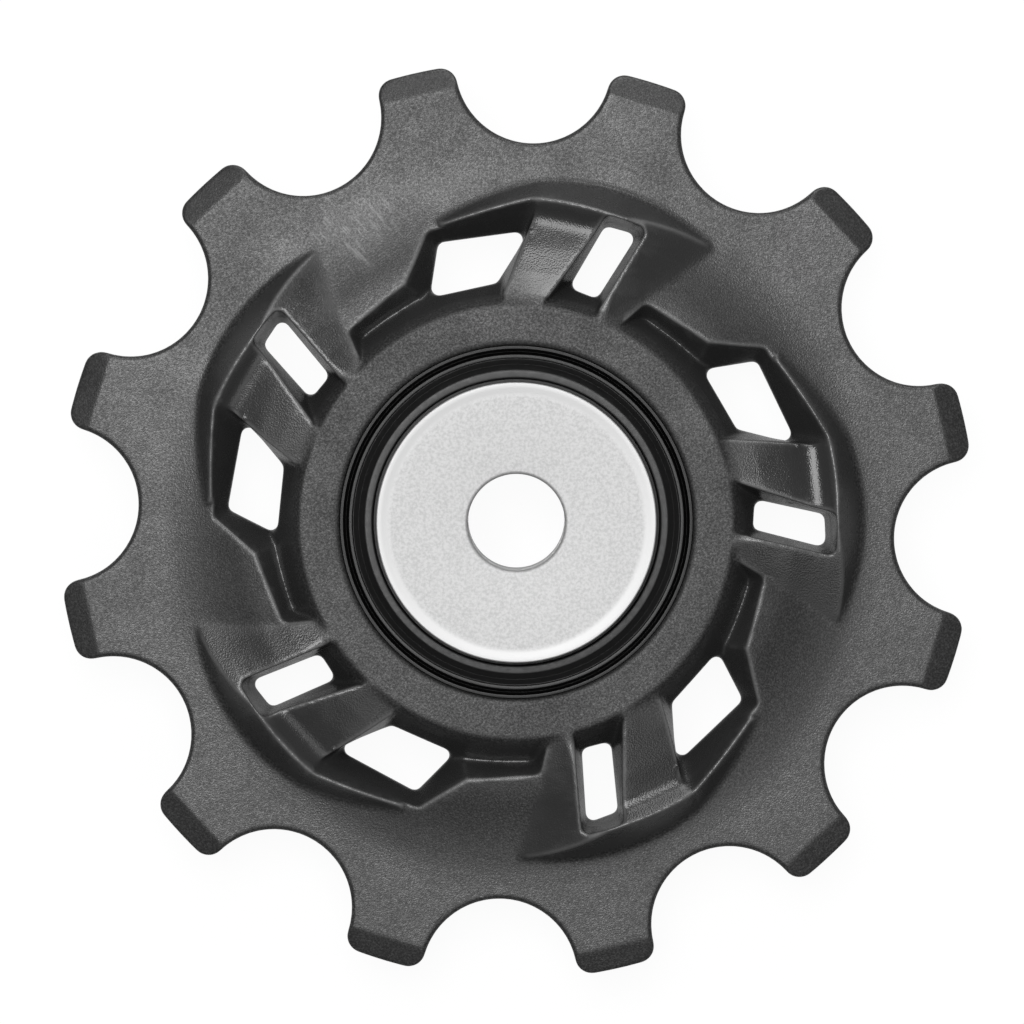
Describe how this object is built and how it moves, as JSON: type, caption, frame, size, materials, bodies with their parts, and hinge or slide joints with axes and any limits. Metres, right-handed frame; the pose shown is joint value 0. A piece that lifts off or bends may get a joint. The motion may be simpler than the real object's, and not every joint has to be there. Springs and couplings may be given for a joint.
{
  "type": "derailleur jockey wheel",
  "caption": "Toothed guide wheel of a bicycle derailleur: dark moulded wheel with a swirling open web, running on a sealed cartridge bearing between two metal caps.",
  "frame": {"origin": "centre of the wheel: on the axle's axis, in the middle of the width", "axes": "+Z along the axle, out of the front cap; +X through the middle of one slot of the web"},
  "size_m": [0.0486, 0.0486, 0.0082],
  "materials": {
    "wheel_nylon": "moulded, finely textured glass-filled nylon",
    "bearing_steel": "ground bearing steel",
    "ball_steel": "polished",
    "cage_nylon": "natural nylon",
    "seal_rubber": "smooth moulded",
    "cap_metal": "bead-blasted and clear anodised",
    "sleeve_metal": "turned"
  },
  "bodies": {
    "axle": {"front_cap": "cap_metal", "rear_cap": "cap_metal", "axle_sleeve": "sleeve_metal", "bearing_inner_race": "bearing_steel"},
    "wheel": {"pulley_wheel": "wheel_nylon", "bearing_outer_race": "bearing_steel", "front_seal": "seal_rubber", "rear_seal": "seal_rubber"},
    "cage": {"ball_cage": "cage_nylon"},
    "ball_01": {"ball_01": "ball_steel"},
    "ball_02": {"ball_02": "ball_steel"},
    "ball_03": {"ball_03": "ball_steel"},
    "ball_04": {"ball_04": "ball_steel"},
    "ball_05": {"ball_05": "ball_steel"},
    "ball_06": {"ball_06": "ball_steel"},
    "ball_07": {"ball_07": "ball_steel"},
    "ball_08": {"ball_08": "ball_steel"},
    "ball_09": {"ball_09": "ball_steel"},
    "ball_10": {"ball_10": "ball_steel"},
    "ball_11": {"ball_11": "ball_steel"}
  },
  "joints": [
    {"name": "wheel_spin", "type": "hinge", "parent": "axle", "child": "wheel", "pos_m": [0, 0, 0], "axis": [0, 0, 1], "continuous": true},
    {"name": "cage_spin", "type": "hinge", "parent": "axle", "child": "cage", "pos_m": [0, 0, 0], "axis": [0, 0, 1], "continuous": true},
    {"name": "ball_01_spin", "type": "hinge", "parent": "cage", "child": "ball_01", "pos_m": [0.00725, 0, 0], "axis": [0, 0, 1], "continuous": true},
    {"name": "ball_02_spin", "type": "hinge", "parent": "cage", "child": "ball_02", "pos_m": [0.0061, 0.00392, 0], "axis": [0, 0, 1], "continuous": true},
    {"name": "ball_03_spin", "type": "hinge", "parent": "cage", "child": "ball_03", "pos_m": [0.00301, 0.00659, 0], "axis": [0, 0, 1], "continuous": true},
    {"name": "ball_04_spin", "type": "hinge", "parent": "cage", "child": "ball_04", "pos_m": [-0.00103, 0.00718, 0], "axis": [0, 0, 1], "continuous": true},
    {"name": "ball_05_spin", "type": "hinge", "parent": "cage", "child": "ball_05", "pos_m": [-0.00475, 0.00548, 0], "axis": [0, 0, 1], "continuous": true},
    {"name": "ball_06_spin", "type": "hinge", "parent": "cage", "child": "ball_06", "pos_m": [-0.00696, 0.00204, 0], "axis": [0, 0, 1], "continuous": true},
    {"name": "ball_07_spin", "type": "hinge", "parent": "cage", "child": "ball_07", "pos_m": [-0.00696, -0.00204, 0], "axis": [0, 0, 1], "continuous": true},
    {"name": "ball_08_spin", "type": "hinge", "parent": "cage", "child": "ball_08", "pos_m": [-0.00475, -0.00548, 0], "axis": [0, 0, 1], "continuous": true},
    {"name": "ball_09_spin", "type": "hinge", "parent": "cage", "child": "ball_09", "pos_m": [-0.00103, -0.00718, 0], "axis": [0, 0, 1], "continuous": true},
    {"name": "ball_10_spin", "type": "hinge", "parent": "cage", "child": "ball_10", "pos_m": [0.00301, -0.00659, 0], "axis": [0, 0, 1], "continuous": true},
    {"name": "ball_11_spin", "type": "hinge", "parent": "cage", "child": "ball_11", "pos_m": [0.0061, -0.00392, 0], "axis": [0, 0, 1], "continuous": true}
  ],
  "couplings": [
    {"joint": "cage_spin", "follows": "wheel_spin", "ratio": 0.58207},
    {"joint": "ball_01_spin", "follows": "wheel_spin", "ratio": 2.9642},
    {"joint": "ball_02_spin", "follows": "wheel_spin", "ratio": 2.9642},
    {"joint": "ball_03_spin", "follows": "wheel_spin", "ratio": 2.9642},
    {"joint": "ball_04_spin", "follows": "wheel_spin", "ratio": 2.9642},
    {"joint": "ball_05_spin", "follows": "wheel_spin", "ratio": 2.9642},
    {"joint": "ball_06_spin", "follows": "wheel_spin", "ratio": 2.9642},
    {"joint": "ball_07_spin", "follows": "wheel_spin", "ratio": 2.9642},
    {"joint": "ball_08_spin", "follows": "wheel_spin", "ratio": 2.9642},
    {"joint": "ball_09_spin", "follows": "wheel_spin", "ratio": 2.9642},
    {"joint": "ball_10_spin", "follows": "wheel_spin", "ratio": 2.9642},
    {"joint": "ball_11_spin", "follows": "wheel_spin", "ratio": 2.9642}
  ]
}
